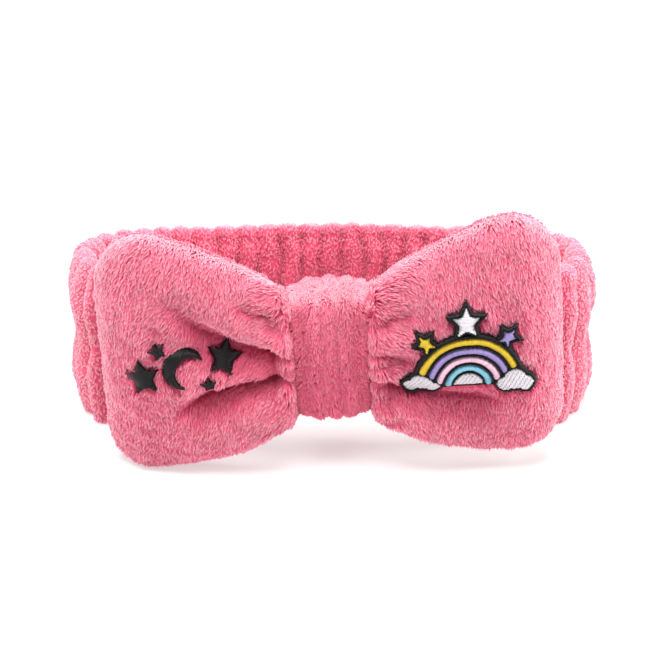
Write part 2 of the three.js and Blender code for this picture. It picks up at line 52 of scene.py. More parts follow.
LOOP_PLACE = (0.05, 10.07)
LOOP_WIDTH = 222
LOOP_DEPTH = 114
LOOP_FRONT = 0.456 * LOOP_DEPTH
LOOP_BACK = LOOP_DEPTH - LOOP_FRONT
LOOP_SQUARENESS = 2.2
LOOP_STEPS = 8001
BAND_HEIGHT = 77
BAND_THICKNESS = 13
BAND_AROUND = 48
RIB_PITCH = 10.3
RIB_POINTS = 9
RIB_DEPTH = 2.1
RIB_ROUNDNESS = 0.75
RIB_UNEVENNESS = 0.25
RIB_BEAT = 2.3
RIB_WANDER = 0.16
RIB_WANDER_SIZE = 30
FOOT_SQUASH = 3.6
HELD_THICKNESS = 10
HELD_HEIGHT = 45.4
KNOT_FADE = 72
KNOT_MIDDLE = 52.72
NECK_END = 16.4
SECTION_SQUARENESS = 2.5
WAIST_WIDTH = 0.32
SCALLOP = 0.5
SEAM_LEVEL = 0.8
SEAM_DEPTH = 1.3
SEAM_WIDTH = 0.05
CLOTH_REST = 0.3
BAND_PILE_ROOM = 1.4

# Size of the puckers between the ribs, their depth, and the seed of their places
PUCKERS = [(7, 0.3, 2), (16, 0.5, 3)]

# Share of the way round, height, lift of the lower edge, thickness, waist over the elastic, depth of
# the ribs
LOOP_ROWS = [
    (0.00, 0.90, 0.00, 0.80, 0.00, 0.9),
    (0.08, 0.95, 0.00, 0.88, 0.10, 0.9),
    (0.13, 1.00, 0.00, 0.95, 0.25, 1.0),
    (0.18, 1.02, 0.00, 1.12, 0.45, 1.3),
    (0.25, 0.97, 0.05, 1.20, 0.55, 1.4),
    (0.32, 0.93, 0.02, 1.05, 0.40, 1.2),
    (0.40, 0.88, 0.00, 0.95, 0.22, 1.0),
    (0.50, 0.87, 0.00, 0.95, 0.20, 1.0),
    (0.60, 0.88, 0.00, 0.95, 0.22, 1.0),
    (0.68, 0.93, 0.02, 1.05, 0.35, 1.2),
    (0.75, 0.97, 0.05, 1.20, 0.55, 1.4),
    (0.82, 1.02, 0.00, 1.12, 0.45, 1.3),
    (0.87, 1.00, 0.00, 0.95, 0.25, 1.0),
    (0.92, 0.95, 0.00, 0.88, 0.10, 0.9),
    (1.00, 0.90, 0.00, 0.80, 0.00, 0.9),
]


def read_table(rows, place):
    """A table's columns at any places: cubics through its rows, sloped by the neighbours of each."""
    rows = np.array(rows, float)
    key, columns = rows[:, 0], rows[:, 1:]
    slopes = np.gradient(columns, key, axis=0)
    i = np.clip(np.searchsorted(key, place, side="right") - 1, 0, len(key) - 2)
    span = (key[i + 1] - key[i])[..., None]
    t = np.clip((place - key[i])[..., None] / span, 0, 1)
    start = (1 + 2 * t) * (1 - t) ** 2 * columns[i] + t * (1 - t) ** 2 * span * slopes[i]
    end = (3 - 2 * t) * t ** 2 * columns[i + 1] + (t - 1) * t ** 2 * span * slopes[i + 1]
    return np.moveaxis(start + end, -1, 0)


def superellipse(angle, squareness):
    """A circle squared off: cosine and sine raised to 2 / squareness, with their signs kept."""
    cos, sin = np.cos(angle), np.sin(angle)
    power = 2 / squareness
    return np.sign(cos) * np.abs(cos) ** power, np.sign(sin) * np.abs(sin) ** power


def ease(x, start, end):
    """0 before start and 1 after end, with 3t^2 - 2t^3 of the share t between them."""
    t = np.clip((x - start) / (end - start), 0, 1)
    return t * t * (3 - 2 * t)


def bell(distance, width):
    """A bell curve: e to the minus square of distance over width."""
    return np.exp(-((distance / width) ** 2))


def wander(points, size, seed, waves=20):
    """A smooth random field, mostly within -1 to 1: a sum of sines, each about one size long."""
    draw = np.random.default_rng(seed)
    ways = draw.normal(size=(points.shape[-1], waves))
    ways *= 2 * np.pi / size * draw.uniform(0.6, 1.4, waves) / np.linalg.norm(ways, axis=0)
    return np.sin(points @ ways + draw.uniform(0, 2 * np.pi, waves)).sum(-1) / (2 * waves) ** 0.5


loop_angles = np.linspace(-np.pi / 2, 1.5 * np.pi, LOOP_STEPS)
loop_x, loop_y = superellipse(loop_angles, LOOP_SQUARENESS)
loop_line = np.stack([loop_x * LOOP_WIDTH / 2, loop_y * np.where(loop_y < 0, LOOP_FRONT, LOOP_BACK)])
loop_along = np.insert(np.cumsum(np.linalg.norm(np.diff(loop_line), axis=0)), 0, 0)
LOOP_LENGTH = loop_along[-1]
RIBS = round(LOOP_LENGTH / RIB_PITCH)


def on_loop(turn):
    """The loop's line and outward normals, at shares of its length from the middle of its front."""
    along = turn * LOOP_LENGTH
    places = [np.interp(along, loop_along, row) for row in loop_line]
    ways = [np.interp(along, loop_along, np.gradient(row, loop_along)) for row in loop_line]
    return places, (ways[1], -ways[0])


def rib(place):
    """A rib at a place counted in ribs: a sine to a power under one, so it is round on top."""
    crest = 2 * np.abs(np.sin(np.pi * place)) ** RIB_ROUNDNESS - 1
    return crest * (1 + RIB_UNEVENNESS * np.sin(RIB_BEAT * np.floor(place)))


def band_surface(turn, angle, room):
    """A squared tube with a waist, carried round the loop, swollen by ribs and squeezed by the wrap."""
    height, lift, thickness, waist, gather = read_table(LOOP_ROWS, turn)
    (x, y), (out_x, out_y) = on_loop(turn)
    aside = np.minimum(turn, 1 - turn) * LOOP_LENGTH
    knot = 1 - ease(aside, NECK_END, NECK_END + KNOT_FADE)
    across, level = superellipse(angle, SECTION_SQUARENESS)
    # The ribs wander a little on their way up the band
    spot = np.stack([x + 0 * level, y + 0 * level, level * BAND_HEIGHT / 2 + 0 * x], -1)
    place = turn * RIBS + RIB_WANDER * wander(spot, RIB_WANDER_SIZE, 1) * (1 - knot)
    swell = RIB_DEPTH * rib(place) * gather * (1 - knot)
    wall = thickness * BAND_THICKNESS * (1 - knot) / 2 + HELD_THICKNESS * knot / 2 - room
    free = height * BAND_HEIGHT
    half = (free * (1 - knot) + HELD_HEIGHT * knot) / 2 - room
    middle = (free / 2 - FOOT_SQUASH + lift * BAND_HEIGHT) * (1 - knot) + KNOT_MIDDLE * knot
    seam = SEAM_DEPTH * (1 - knot) * bell(np.abs(level) - SEAM_LEVEL, SEAM_WIDTH)
    radial = across * (wall * (1 - waist * bell(level, WAIST_WIDTH)) + swell - seam)
    z = middle + level * (half + SCALLOP * swell)
    spot = np.stack([x + out_x * radial, y + out_y * radial, z], -1)
    puckers = sum(across * depth * wander(spot, size, seed) for size, depth, seed in PUCKERS)
    radial = radial + puckers * (1 - knot)
    x, y = LOOP_PLACE[0] + x + out_x * radial, LOOP_PLACE[1] + y + out_y * radial
    return np.stack([x, y, np.maximum(z, CLOTH_REST)], -1)


def ring_quads(rings, around, looped):
    """Quads between neighbouring closed rings of points. Looped joins the last ring to the first."""
    here = np.arange(rings if looped else rings - 1)[:, None] * around
    after = (here + around) % (rings * around)
    j = np.arange(around)
    k = (j + 1) % around
    return np.stack([here + j, after + j, after + k, here + k], -1).reshape(-1, 4)


def new_piece(name, points, *faces, **values):
    """An object at the origin, from points in millimetres, arrays of equal faces and point values."""
    mesh = bpy.data.meshes.new(name)
    mesh.vertices.add(len(points))
    mesh.vertices.foreach_set("co", (points / 1000).ravel())
    corners = np.concatenate([group.ravel() for group in faces])
    sizes = np.concatenate([np.full(len(group), group.shape[1]) for group in faces])
    mesh.loops.add(len(corners))
    mesh.loops.foreach_set("vertex_index", corners)
    mesh.polygons.add(len(sizes))
    mesh.polygons.foreach_set("loop_start", np.cumsum(sizes) - sizes)
    mesh.polygons.foreach_set("use_smooth", np.ones(len(sizes), bool))
    for key, value in values.items():
        mesh.attributes.new(key, "FLOAT", "POINT").data.foreach_set("value", value)
    mesh.update(calc_edges=True)
    mesh.validate()
    piece = bpy.data.objects.new(name, mesh)
    bpy.context.collection.objects.link(piece)
    return piece


def linear(hex_colour):
    """A colour written in sRGB as rrggbb, as the linear values that the shader takes."""
    shares = [int(hex_colour[i:i + 2], 16) / 255 for i in (0, 2, 4)]
    return [s / 12.92 if s <= 0.04045 else ((s + 0.055) / 1.055) ** 2.4 for s in shares] + [1]


def add_node(material, kind, inputs=None, **settings):
    """Adds a node with its own settings, and sets or links its inputs."""
    node = material.node_tree.nodes.new("ShaderNode" + kind)
    for key, value in settings.items():
        setattr(node, key, value)
    for socket, value in (inputs or {}).items():
        if isinstance(value, bpy.types.NodeSocket):
            material.node_tree.links.new(value, node.inputs[socket])
        else:
            node.inputs[socket].default_value = value
    return node


def new_material(name):
    """A material without nodes."""
    material = bpy.data.materials.new(name)
    material.use_nodes = True
    material.node_tree.nodes.clear()
    return material


# Coral fleece: knitted polyester whose pile is brushed up into soft locks. Light enters the tips of the
# locks, so that they show pale and the cloth between them deep pink, and the fibres give every edge a
# soft sheen. The dye takes a little unevenly, in patches about 18 mm wide.
PATCH_SCALE = 55
fleece = new_material("coral_fleece")
# Tone along the ramp, from the tip attribute: it also holds painted highlight and painted shade
tip = add_node(fleece, "Attribute", attribute_name="tip")
lock = add_node(fleece, "Attribute", attribute_name="lock")
deep_to_pale = add_node(fleece, "ValToRGB", {"Fac": tip.outputs["Fac"]})
ramp = deep_to_pale.color_ramp
ramp.elements[0].color = linear("c23659")
ramp.elements[1].color = linear("fdbbc8")
ramp.elements.new(0.5).color = linear("dc5c79")
spots = add_node(fleece, "TexCoord")
patches = add_node(fleece, "TexNoise", {
    "Vector": spots.outputs["Object"], "Scale": PATCH_SCALE, "Detail": 3})
shade = add_node(fleece, "MapRange", {
    "Value": patches.outputs["Fac"], "From Min": 0.3, "From Max": 0.7, "To Min": 0.9, "To Max": 1.06})
uneven = add_node(fleece, "Math", {
    0: lock.outputs["Fac"], 1: shade.outputs["Result"]}, operation="MULTIPLY")
coloured = add_node(fleece, "HueSaturation", {
    "Color": deep_to_pale.outputs["Color"], "Value": uneven.outputs[0]})
cloth = add_node(fleece, "BsdfPrincipled", {
    "Base Color": coloured.outputs["Color"], "Roughness": 0.9, "Specular IOR Level": 0.1,
    "Sheen Weight": 0.25, "Sheen Roughness": 0.5, "Sheen Tint": linear("ffc8d4"),
    "Subsurface Weight": 0.45, "Subsurface Scale": 0.001, "Subsurface Radius": (1.0, 0.8, 0.8)})
add_node(fleece, "OutputMaterial", {"Surface": cloth.outputs["BSDF"]})


# The pile of the fleece. Real fibres are far finer than a picture of the whole headband can show, so
# each lock stands for a tuft of them, about a millimetre wide.
PILE_LEAN = math.radians(70)
PILE_REST = 0.1
SHOULDER_PLACE = 0.5
SHOULDER_RISE = 0.14
ROOT_DEPTH = 0.4
ROUND_SIDES = 0.4
ROUND_TIP = 0.3
FLATNESS = 1.02

# How locks differ. A wander has its size and its amount, and a spread is a standard deviation: of the
# turn and the lean in radians, and of the length and the lightness as a share
TURN_WANDERS = [(16, 0.25), (5, 0.12)]
TURN_SPREAD = 0.13
LEAN_WANDER = (6, 0.1)
LEAN_SPREAD = 0.08
LENGTH_WANDER = (9, 0.1)
LENGTH_SPREAD = 0.1
WIDTH_RANGE = (0.75, 1.25)
LIGHT_SPREAD = 0.08

# Tones along the ramp, from deep to pale, and where the pile stands open, which shortens it and
# paints a highlight into its tone over rims and tops: distances aside in millimetres, and shares
CLOTH_TONE = 0.25
ROOT_TONE = 0.12
SHOULDER_TONE = 0.42
# A painted highlight that the open pile takes over rims and tops
RIM_HIGHLIGHT = 0.25
OPEN_AND_LIT_ENDS = (45, 112)
OPEN_AND_LIT_SIDES = (90, 112)
SIDE_OPEN_AND_LIT = 0.6
OPEN_AND_LIT_RANGE = (0.15, 0.85)
OPEN_SHORTENING = 0.35


def unit(vectors):
    """Vectors over their own lengths."""
    return vectors / (np.linalg.norm(vectors, axis=-1, keepdims=True) + 1e-9)


def cloth_normals(points, faces):
    """The area vectors of four-cornered faces, and the normals of the points that they share."""
    corners = points[faces]
    areas = np.cross(corners[:, 2] - corners[:, 0], corners[:, 3] - corners[:, 1]) / 2
    shared = [np.bincount(faces.ravel(), np.repeat(column, 4), len(points)) for column in areas.T]
    return areas, unit(np.stack(shared, 1))


def open_and_rim_lit(place, normal):
    """How far the pile stands open, which shortens it and paints a highlight into its tone: over
    the tops, and over whatever bends away at the two ends.

    Broad fronts and backs, the ribs between the ends and the sides of the wrap are pressed shut,
    with no painted highlight.
    """
    aside = np.abs(place[:, 0])
    outwards = ease(aside, *OPEN_AND_LIT_ENDS)
    free = outwards + (1 - outwards) * np.abs(normal[:, 2])
    pressed = np.abs(normal[:, 1]) * (1 - SIDE_OPEN_AND_LIT * ease(aside, *OPEN_AND_LIT_SIDES))
    return free * ease(1 - pressed, *OPEN_AND_LIT_RANGE)


def pile(name, points, faces, nap, tone, tips, length, width, density, seed, trim=None):
    """Locks of pile, each a closed sliver with four faces: a root, two shoulders and a tip.

    Roots fall evenly over the faces by area. The nap gives the way that each lock points along the
    cloth, and all of them lie well over. A smooth wander turns neighbours alike, and each lock has a
    small turn of its own. The shoulders stand higher than a straight line from root to tip, so a lock
    shows its rounded back. The tone of its place is added to the lock's own tones, and a trim may leave
    locks out or shorten them.
    """
    draw = np.random.default_rng(seed)
    areas, normals = cloth_normals(points, faces)
    area = np.cumsum(np.linalg.norm(areas, axis=1))
    count = int(area[-1] * density)
    face = np.searchsorted(area, (np.arange(count) + draw.random(count)) * area[-1] / count)
    face = np.minimum(face, len(faces) - 1)
    u, v = draw.random((2, count, 1))
    weights = [(1 - u) * (1 - v), u * (1 - v), u * v, (1 - u) * v]
    root = sum(weight * points[faces[face, i]] for i, weight in enumerate(weights))
    normal = unit(sum(weight * normals[faces[face, i]] for i, weight in enumerate(weights)))
    way = nap(root, normal)
    way = unit(way - (way * normal).sum(1, keepdims=True) * normal)
    broad, fine = (amount * wander(root, size, seed + 1 + i)
                   for i, (size, amount) in enumerate(TURN_WANDERS))
    turned = (broad + fine + draw.normal(0, TURN_SPREAD, count))[:, None]
    way = way * np.cos(turned) + np.cross(normal, way) * np.sin(turned)
    size, amount = LEAN_WANDER
    uneven = amount * wander(root, size, seed + 3) + draw.normal(0, LEAN_SPREAD, count)
    tilt = PILE_LEAN + uneven[:, None]
    size, amount = LENGTH_WANDER
    longer = 1 + amount * wander(root, size, seed + 4) + draw.normal(0, LENGTH_SPREAD, count)
    reach = (length * longer)[:, None] * (1 - OPEN_SHORTENING * open_and_rim_lit(root, normal)[:, None])
    if trim is not None:
        kept, reach = trim(root, way, reach)
        root, normal, way, tilt, reach = (rows[kept] for rows in (root, normal, way, tilt, reach))
        count = len(root)
    shaft = normal * np.cos(tilt) + way * np.sin(tilt)
    side = unit(np.cross(shaft, normal))
    half = width / 2 * draw.uniform(*WIDTH_RANGE, (count, 1))
    shoulder = root + SHOULDER_PLACE * reach * shaft + SHOULDER_RISE * reach * normal
    corners = [root - ROOT_DEPTH * normal, shoulder - half * side, shoulder + half * side,
               root + reach * shaft]
    locks = np.stack(corners, 1)
    locks[..., 2] = np.maximum(locks[..., 2], PILE_REST)
    sliver = np.array([(0, 2, 1), (3, 1, 2), (0, 1, 3), (0, 3, 2)])
    triangles = (np.arange(count)[:, None, None] * 4 + sliver).reshape(-1, 3)
    own = (ROOT_TONE, SHOULDER_TONE, SHOULDER_TONE, tips)
    # The place's tone adds painted highlight on rims and tops, and painted shade in folds
    tones = (own + tone(root, normal)[:, None]).ravel()
    lights = np.repeat(draw.normal(1, LIGHT_SPREAD, count), 4)
    piece = new_piece(name, locks.reshape(-1, 3), triangles, tip=tones, lock=lights)
    # Light sinks into a lock, so its faces shade half as softly as the cloth that it stands on
    first, second, third = (locks[:, sliver[:, i]] for i in range(3))
    flat = unit(np.cross(second - first, third - first))
    soft = unit(np.stack([normal, normal - ROUND_SIDES * side, normal + ROUND_SIDES * side,
                          normal + ROUND_TIP * shaft], 1))
    shading = unit(soft[:, sliver] + FLATNESS * flat[:, :, None])
    piece.data.normals_split_custom_set(shading.reshape(-1, 3))
    piece.data.materials.append(fleece)
    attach(piece, "root")


def padded_cloth(node, tone, fill, points, quads, *ends):
    """The closed cloth under a pile, in place of a solid: a cushion. The fill is not used."""
    # The cloth takes the same painted highlight and shade as its pile
    shown = CLOTH_TONE + tone(points, cloth_normals(points, quads)[1])
    piece = new_piece(node, points, quads, *ends, tip=shown, lock=np.ones(len(points)))
    piece.data.materials.append(fleece)
    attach(piece, "root")
    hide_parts(node)


# The band's own pile is short and even, with a painted highlight over the back's upper edge and
# at the loop's ends
BAND_TONE = 0.12
BAND_RIM_HIGHLIGHT = 0.25
TOP_HIGHLIGHT = 0.18
TOP_HIGHLIGHT_SLOPE = (0.1, 0.8)
TOP_HIGHLIGHT_END = (45, 100)
BAND_TIPS = 0.55
BAND_LOCK = (2.1, 0.78)
NAP_SWAY = 0.3
NAP_SWAY_SIZE = 40


def band_tone(place, normal):
    """Even, plus painted highlight on open pile and on cloth facing up, away from the ends."""
    # Cloth that faces up gets a painted highlight, fading out towards the ends
    top = ease(normal[:, 2], *TOP_HIGHLIGHT_SLOPE) * (1 - ease(np.abs(place[:, 0]), *TOP_HIGHLIGHT_END))
    return BAND_TONE + BAND_RIM_HIGHLIGHT * open_and_rim_lit(place, normal) + TOP_HIGHLIGHT * top


def band_nap(root, normal):
    """Up the band's inside, over its top and down its outside, square to the loop's line."""
    x, y = root[:, 0] - LOOP_PLACE[0], root[:, 1] - LOOP_PLACE[1]
    sway = NAP_SWAY * wander(root, NAP_SWAY_SIZE, 13) * np.abs(x)
    return np.cross(np.stack([-y * (LOOP_WIDTH / LOOP_DEPTH) ** 2, x, sway], -1), normal)


band_turns = np.arange(RIBS * RIB_POINTS)[:, None] / (RIBS * RIB_POINTS)
band_angles = np.arange(BAND_AROUND)[None, :] * 2 * np.pi / BAND_AROUND
band_points = band_surface(band_turns, band_angles, BAND_PILE_ROOM).reshape(-1, 3)
band_quads = ring_quads(RIBS * RIB_POINTS, BAND_AROUND, True)
padded_cloth("band", band_tone, 0.6, band_points, band_quads)

column = np.arange(len(band_quads)) % BAND_AROUND
inside = (column >= BAND_AROUND // 4) & (column < 3 * BAND_AROUND // 4)
for name, faces, density, seed in (("band_pile_outside", band_quads[~inside], 1.03, 11),
                                   ("band_pile_inside", band_quads[inside], 0.88, 12)):
    pile(name, band_points, faces, band_nap, band_tone, BAND_TIPS, *BAND_LOCK, density, seed)


# The bow
# One flat bag of coral fleece, turned right side out through its seam and pinched in its middle. Its
# pile fills it, so both wings are puffed, and folds run out over them from the pinch.

BOW_PLACE = (0.05, -55.28, 52.72)
BOW_ROLL = math.radians(3.4)
WING_LENGTH = 100
WING_HEIGHT = 110
WING_THICKNESS = 29
WING_TOP_CORNER = 24
WING_BOTTOM_CORNER = 15
WING_EDGE_RADIUS = 15
WING_END_SHARE = 0.1725
WING_CLEARANCE = 5
WING_RINGS = 84
BACK_SPANS = 40
FRONT_SPANS = 104
NECK_HEIGHT = 48
NECK_THICKNESS = 16
NECK_TO_LINE = 13.35
CREASE_START = 0.1
CREASE_FADE = 0.62
CREASE_FLARE = 0.7
STEEP_ABOVE = 0.6
GENTLE_BELOW = 1.35
FOLD_GAIN = 1.3
TUCK_WIDTH = 0.024
BOW_PILE_ROOM = 2.6
THIN_PART = 6

# Size of the filling's lumps, their depth, and the seed of their places
LUMPS = [(42, 0.9, 21), (17, 0.35, 22)]

# Fine gathers beside the wrap: their depth, radians for each millimetre, sway, radians for each
# millimetre of the sway, and the reach over which they fade
GATHER_DEPTH = 0.5
GATHER_RATE = 0.75
GATHER_SWAY = 1.5
GATHER_SWAY_RATE = 0.21
GATHER_FADE = (0.02, 0.26)

# Share of the free length from the wrap's edge, top, bottom, opening of the section, front, back
WING_ROWS = [
    (0.00, 0.300, 0.265, 0.0, 0.30, 0.26),
    (0.03, 0.320, 0.275, 0.9, 0.40, 0.24),
    (0.10, 0.360, 0.303, 1.0, 0.45, 0.25),
    (0.20, 0.410, 0.345, 1.0, 0.50, 0.26),
    (0.34, 0.460, 0.385, 1.0, 0.54, 0.27),
    (0.50, 0.510, 0.410, 1.0, 0.56, 0.30),
    (0.66, 0.555, 0.430, 1.0, 0.55, 0.35),
    (0.84, 0.565, 0.435, 1.0, 0.50, 0.42),
    (1.00, 0.545, 0.430, 1.0, 0.44, 0.44),
]

# Wing, level at the wrap, reach and level of the bend, reach and level of the end, depth, width, tuck
CREASES = [
    (-1, 0.20, 0.10, 0.22, 0.30, 0.27, 0.08, 0.045, 0.0),
    (-1, 0.04, 0.30, 0.12, 0.66, 0.28, 0.25, 0.085, 0.5),
    (-1, -0.04, 0.25, -0.07, 0.70, -0.16, 0.30, 0.06, 2.0),
    (1, 0.18, 0.10, 0.19, 0.30, 0.23, 0.08, 0.045, 0.3),
    (1, 0.05, 0.12, 0.03, 0.30, 0.01, 0.12, 0.05, 0.8),
    (1, -0.08, 0.24, -0.12, 0.80, -0.17, 0.22, 0.085, 1.2),
]


def crease_depth(side, reach, level):
    """How far the folds sink a wing's front: troughs along bent lines, deep nearly to their outer ends.

    Each trough is half a bell on each side of its line, steep above, where the cloth hangs over, and
    gentle below. Along the line runs a narrow tuck.
    """
    depth = 0 * reach * level
    for wing, start, at, bend, to, end, deep, width, tuck in CREASES:
        share = reach / to
        at_bend = at / to
        off_line = bend - (start + (end - start) * at_bend)
        bow_out = off_line * share * (1 - share) / (at_bend * (1 - at_bend))
        off = level - (start + (end - start) * share + bow_out)
        fade = ease(reach, 0, CREASE_START) * (1 - ease(share, CREASE_FADE, 1))
        spread = width * (CREASE_FLARE + share) * np.where(off > 0, STEEP_ABOVE, GENTLE_BELOW)
        trough = FOLD_GAIN * deep * WING_THICKNESS * bell(off, spread) + tuck * bell(off, TUCK_WIDTH)
        depth = depth + trough * fade * (side == wing)
    return depth


def band_face(aside):
    """How far forward the band's ribs may reach at a distance aside, within a rib's pitch of it."""
    turn = np.linspace(0, 0.25, 49)
    (x, y), (out_x, out_y) = on_loop(turn)
    rows = read_table(LOOP_ROWS, turn)
    half = rows[2] * BAND_THICKNESS / 2 + (1 + RIB_UNEVENNESS) * RIB_DEPTH * rows[4]
    x = x + RIB_PITCH * out_y
    y = y - RIB_PITCH * out_x + LOOP_FRONT + half * out_y
    probes = np.linspace(0, WING_LENGTH, 34)
    near = np.abs(x - np.minimum(probes, x[-1])[:, None]) < RIB_PITCH
    return np.interp(aside, probes, np.where(near, y, np.inf).min(1))


def wing_shape(distance):
    """A wing's section at distances from the neck: its reach, half sizes, seam and opening.

    The half sizes, top, bottom, front and back, come from the table. Circles round the wing's corners
    off and thin its end nearly to the seam, and the seam clears the band's ribs.
    """
    reach = np.clip((distance - NECK_END) / (WING_LENGTH - NECK_END), 0, 1)
    top, bottom, opening, front, back = read_table(WING_ROWS, reach)
    opening = np.clip(opening, 0, 1)
    from_end = WING_LENGTH - distance
    edge = np.clip(1 - from_end / WING_EDGE_RADIUS, 0, 1)
    thinned = np.sqrt(1 - (1 - WING_END_SHARE ** 2) * edge ** 2)
    drawn = [radius * (1 - np.sqrt(1 - np.clip(1 - from_end / radius, 0, 1) ** 2))
             for radius in (WING_TOP_CORNER, WING_BOTTOM_CORNER)]
    top = NECK_HEIGHT / 2 * (1 - opening) + top * WING_HEIGHT * opening - drawn[0]
    bottom = NECK_HEIGHT / 2 * (1 - opening) + bottom * WING_HEIGHT * opening - drawn[1]
    seam = (band_face(distance) + NECK_TO_LINE - WING_CLEARANCE - back * WING_THICKNESS) * opening
    front = (NECK_THICKNESS / 2 * (1 - opening) + front * WING_THICKNESS * opening) * thinned
    back = (NECK_THICKNESS / 2 * (1 - opening) + back * WING_THICKNESS * opening) * thinned
    return reach, top, bottom, front, back, seam, opening * thinned


def front_relief(x, z, reach, across):
    """The folds of a wing's front, the lumps of its filling and its fine gathers, sunk towards +Y."""
    side = np.sign(x)
    folds = sum(crease_depth(wing, reach, z / WING_HEIGHT) * (side == wing) for wing in (-1, 1))
    spot = np.stack(np.broadcast_arrays(x, z), -1)
    swell = sum(depth * wander(spot, size, seed) for size, depth, seed in LUMPS)
    waves = np.cos(z * GATHER_RATE + GATHER_SWAY * np.sin(z * GATHER_SWAY_RATE))
    gathers = GATHER_DEPTH * waves * (1 - ease(reach, *GATHER_FADE))
    return (folds + swell + gathers) * across


def wing_front(x, z):
    """A wing's front over a place on it: half a squared circle before its seam, less its relief."""
    reach, top, bottom, front, back, seam, opening = wing_shape(np.abs(x))
    level = np.clip((2 * z - (top - bottom)) / (top + bottom), -1, 1)
    across = (1 - np.abs(level) ** SECTION_SQUARENESS) ** (1 / SECTION_SQUARENESS)
    return seam - across * front + front_relief(x, z, reach, across) * opening


def on_bow(x, y, z):
    """Places of the bow, measured from its neck's middle, rolled and put where the bow is."""
    cos, sin = math.cos(BOW_ROLL), math.sin(BOW_ROLL)
    rolled = np.broadcast_arrays(x * cos - z * sin, y, x * sin + z * cos)
    return np.stack(rolled, -1) + np.array(BOW_PLACE)


def from_bow(points):
    """The x and z of places, measured on the bow."""
    x, z = points[:, 0] - BOW_PLACE[0], points[:, 2] - BOW_PLACE[2]
    cos, sin = math.cos(BOW_ROLL), math.sin(BOW_ROLL)
    return x * cos + z * sin, z * cos - x * sin


def half_section(side, spans):
    """Half of a squared circle, from its bottom up for the back and from its top down for the front."""
    level = np.sin(side * (np.arange(spans) / spans - 0.5) * np.pi)
    return side * (1 - np.abs(level) ** SECTION_SQUARENESS) ** (1 / SECTION_SQUARENESS), level


# Painted shade in the folds, where the pile shows deep pink: how much, from which depth of a fold in
# millimetres to which, and how far forward the cloth has to face
PAINTED_FOLD_SHADE = 0.22
PAINTED_FOLD_DEPTHS = (2.5, 8.5)
PAINTED_FOLD_FACING = (0, 0.3)


def bow_tone(place, normal):
    """The bow takes a painted highlight over its rims and painted shade in its folds."""
    x, z = from_bow(place)
    reach = (np.abs(x) - NECK_END) / (WING_LENGTH - NECK_END)
    sunk = ease(crease_depth(np.sign(x), reach, z / WING_HEIGHT), *PAINTED_FOLD_DEPTHS)
    # Painted highlight on the rims, less painted shade in the folds of the front
    return RIM_HIGHLIGHT * open_and_rim_lit(place, normal) - PAINTED_FOLD_SHADE * sunk * ease(-normal[:, 1], *PAINTED_FOLD_FACING)


across, level = np.concatenate([half_section(1, BACK_SPANS), half_section(-1, FRONT_SPANS)], 1)
share = np.arange(1, WING_RINGS + 1) / WING_RINGS
eased = (share + (1 - np.cos(np.pi * share)) / 2) / 2
free = NECK_END + (WING_LENGTH - NECK_END) * eased
ring_x = np.concatenate([-free[::-1], [-NECK_END, 0, NECK_END], free])[::-1, None]
reach, *halves, seam, opening = wing_shape(np.abs(ring_x))
top, bottom, front, back = (size - BOW_PILE_ROOM * np.minimum(1, size / THIN_PART) for size in halves)
bow_z = (top - bottom) / 2 + level * (top + bottom) / 2
relief = front_relief(ring_x, bow_z, reach, np.maximum(0, -across)) * opening
bow_y = seam + across * np.where(across < 0, front, back) + relief
bow_x = ring_x * (WING_LENGTH - BOW_PILE_ROOM) / WING_LENGTH
bow_points = on_bow(bow_x, bow_y, bow_z)
ring_count, around = bow_points.shape[:2]
ends = bow_points[[0, -1]].mean(1)
bow_points = np.concatenate([bow_points.reshape(-1, 3), ends])
bow_points[:, 2] = np.maximum(bow_points[:, 2], CLOTH_REST)
bow_quads = ring_quads(ring_count, around, False)

# A fan of triangles closes each end
j = np.arange(around)
k = (j + 1) % around
first_end = np.stack([0 * j + ring_count * around, j, k], 1)
last_ring = (ring_count - 1) * around
last_end = np.stack([0 * j + ring_count * around + 1, last_ring + k, last_ring + j], 1)
padded_cloth("bow", bow_tone, 0.5, bow_points, bow_quads, first_end, last_end)


# The layout of the embroidery
# Thread holds the pile down, so the bow's pile leaves its places bare: a moon and four stars on one
# wing, and a rainbow between two clouds, with three stars over it, on the other. Places are measured
# on the bow from its neck's middle.

MOON = (-62.0, 4.4)
MOON_RADIUS = 8.5
MOON_OPEN = math.radians(-35)
MOON_BITE = (0.42, 0.78)
RAINBOW = (57.0, -9.02)
RAINBOW_RADIUS = 22
ARC_WIDTH = 3.2
ARC_SPACING = 0.8
CLOUD_RADIUS = 4.8
OUTLINE = 1.5
STAR_WAIST = 0.5
STAR_SEAT = 0.8
STAR_MARGIN = 1.8

# Name, radius, direction from the moon and turn in degrees
NIGHT_STARS = [
    ("large_star_1", 8, 191, 12),
    ("large_star_2", 8, 9, -14),
    ("small_star_1", 4, 138, 25),
    ("small_star_2", 4, -40, 5),
]

# Name, lean in degrees, radius and thread of the stars on the rainbow
CROWN = [
    ("emblem_star", 0, 7, "white"),
    ("side_star_left", 40, 4.2, "yellow"),
    ("side_star_right", -40, 4.2, "lilac"),
]
CLOUDS = [
    ("cloud_left", RAINBOW[0] - RAINBOW_RADIUS + CLOUD_RADIUS / 2),
    ("cloud_right", RAINBOW[0] + RAINBOW_RADIUS - CLOUD_RADIUS / 2),
]

# Each puff of a cloud: how far aside and up in cloud radii, and its share of that radius
CLOUD_PUFFS = [(0, 0.25, 1), (-0.85, -0.15, 0.72), (0.85, -0.15, 0.72)]


def in_disc(x, z, cx, cz, radius):
    """Inside a circle."""
    return (x - cx) ** 2 + (z - cz) ** 2 < radius ** 2


